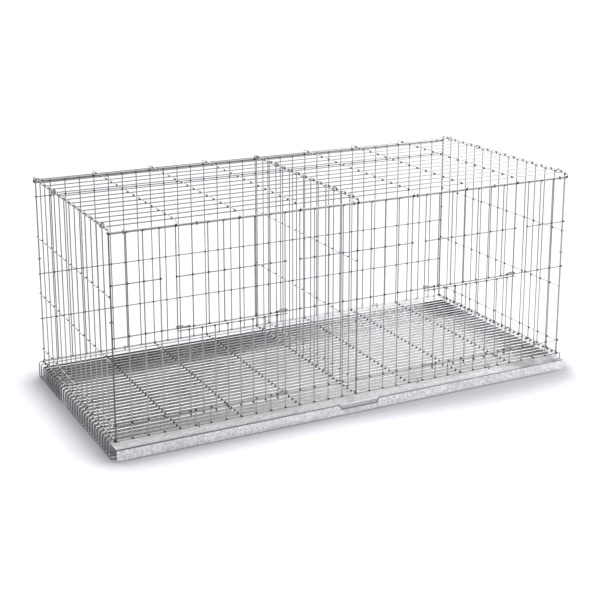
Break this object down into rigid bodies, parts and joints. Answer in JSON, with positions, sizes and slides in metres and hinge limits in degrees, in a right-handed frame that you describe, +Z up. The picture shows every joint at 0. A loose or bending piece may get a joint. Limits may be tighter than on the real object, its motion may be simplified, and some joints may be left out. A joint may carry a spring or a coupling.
{
  "type": "pigeon show cage",
  "caption": "Low two-compartment show cage of welded galvanised wire with lifting front doors, a wire floor on bent legs and a sheet drip tray that slides out to the front.",
  "frame": {"origin": "on the ground, at the middle of the whole object's outline seen from above", "axes": "+X along the length to the right of someone facing the doors, -Y out of the door side, +Z up"},
  "size_m": [1.0022, 0.4722, 0.4294],
  "materials": {
    "galvanised_wire": "bright galvanised welded wire",
    "galvanised_sheet": "spangled galvanised sheet",
    "clip_steel": "zinc-coated ring wire"
  },
  "bodies": {
    "cage": {"front_full_uprights": "galvanised_wire", "front_upper_uprights": "galvanised_wire", "front_lower_stubs": "galvanised_wire", "front_rails": "galvanised_wire", "front_cut_rail": "galvanised_wire", "back_uprights": "galvanised_wire", "back_rails": "galvanised_wire", "left_uprights": "galvanised_wire", "left_rails": "galvanised_wire", "right_uprights": "galvanised_wire", "right_rails": "galvanised_wire", "divider_uprights": "galvanised_wire", "divider_rails": "galvanised_wire", "lid_long_wires": "galvanised_wire", "lid_edge_wires": "galvanised_wire", "lid_cross_wires": "galvanised_wire", "floor_long_wires": "galvanised_wire", "floor_left_legs": "galvanised_wire", "floor_right_legs": "galvanised_wire", "floor_cross_wires": "galvanised_wire", "lid_front_rings": "clip_steel", "lid_back_rings": "clip_steel", "lid_side_rings": "clip_steel", "floor_front_rings": "clip_steel", "floor_back_rings": "clip_steel", "floor_side_rings": "clip_steel", "divider_rings": "clip_steel", "corner_rings": "clip_steel"},
    "left_door": {"left_door_uprights": "galvanised_wire", "left_door_rails": "galvanised_wire", "left_door_lift_wire": "galvanised_wire", "left_door_hooks": "galvanised_wire"},
    "right_door": {"right_door_uprights": "galvanised_wire", "right_door_rails": "galvanised_wire", "right_door_lift_wire": "galvanised_wire", "right_door_hooks": "galvanised_wire"},
    "tray": {"tray_floor": "galvanised_sheet", "tray_side_walls": "galvanised_sheet", "tray_rear_wall": "galvanised_sheet", "tray_front_wall": "galvanised_sheet", "tray_lip": "galvanised_sheet", "tray_front_left": "galvanised_sheet", "tray_front_right": "galvanised_sheet", "tray_slot_top": "galvanised_sheet", "tray_slot_bottom": "galvanised_sheet", "tray_hem": "galvanised_sheet"}
  },
  "joints": [
    {"name": "left_door_lift", "type": "slide", "parent": "cage", "child": "left_door", "axis": [0, 0, 1], "range_m": [0, 0.155]},
    {"name": "right_door_lift", "type": "slide", "parent": "cage", "child": "right_door", "axis": [0, 0, 1], "range_m": [0, 0.155]},
    {"name": "tray_slide", "type": "slide", "parent": "cage", "child": "tray", "axis": [0, -1, 0], "range_m": [0, 0.4]}
  ]
}
